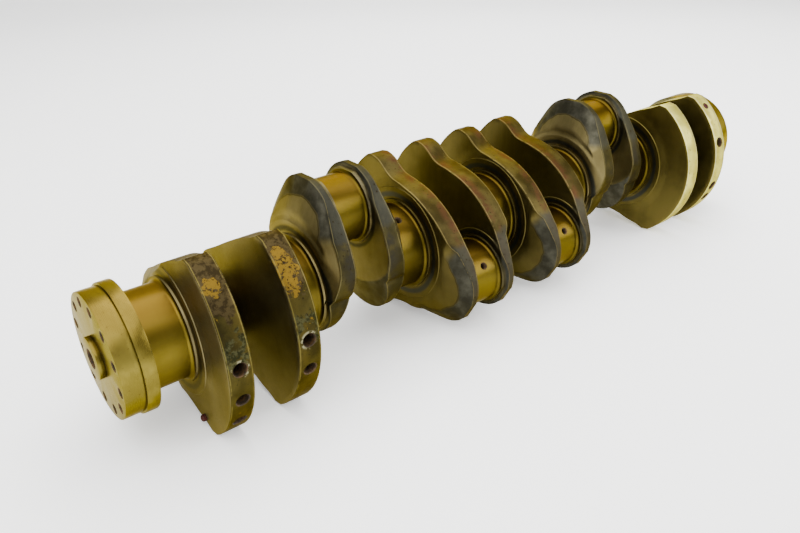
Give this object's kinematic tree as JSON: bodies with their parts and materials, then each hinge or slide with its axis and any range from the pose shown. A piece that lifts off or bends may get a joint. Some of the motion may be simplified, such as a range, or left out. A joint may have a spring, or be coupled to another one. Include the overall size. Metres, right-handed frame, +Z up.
{
  "type": "engine crankshaft",
  "caption": "Heavy diesel engine crankshaft with polished journals and crankpins, weighted webs, a drilled flange with a centre boss, and a plain end drum.",
  "frame": {"origin": "on the crank axis at the shaft's centre of mass, 8 mm from the middle of main journal 4 towards the end drum", "axes": "+X along the crank axis from the bolted flange to the end drum; +Z up through crankpins 2 and 5; -Y towards the side that carries crankpins 3 and 4"},
  "size_m": [1.03, 0.237, 0.2211],
  "materials": {
    "ground_steel": "polished, under an amber rust-preventive coat",
    "machined_steel": "fine turned, under an amber rust-preventive coat",
    "forged_steel": "forged and ground, satin, olive-brown coat with heat tint beside the journals",
    "plug_red": "dark red, matte"
  },
  "bodies": {
    "root": {"flange_disc": "machined_steel", "flange_shoulder": "machined_steel", "flange_boss": "machined_steel", "main_journal_1": "ground_steel", "main_journal_2": "ground_steel", "main_journal_3": "ground_steel", "main_journal_4": "ground_steel", "main_journal_5": "ground_steel", "main_journal_6": "ground_steel", "main_journal_7": "ground_steel", "crankpin_1": "ground_steel", "crankpin_2": "ground_steel", "crankpin_3": "ground_steel", "crankpin_4": "ground_steel", "crankpin_5": "ground_steel", "crankpin_6": "ground_steel", "web_1": "forged_steel", "web_2": "forged_steel", "web_3": "forged_steel", "web_4": "forged_steel", "web_5": "forged_steel", "web_6": "forged_steel", "web_7": "forged_steel", "web_8": "forged_steel", "web_9": "forged_steel", "web_10": "forged_steel", "web_11": "forged_steel", "web_12": "forged_steel", "end_drum": "machined_steel", "balance_plug_web_1": "plug_red", "balance_plug_web_12": "plug_red"}
  },
  "joints": []
}
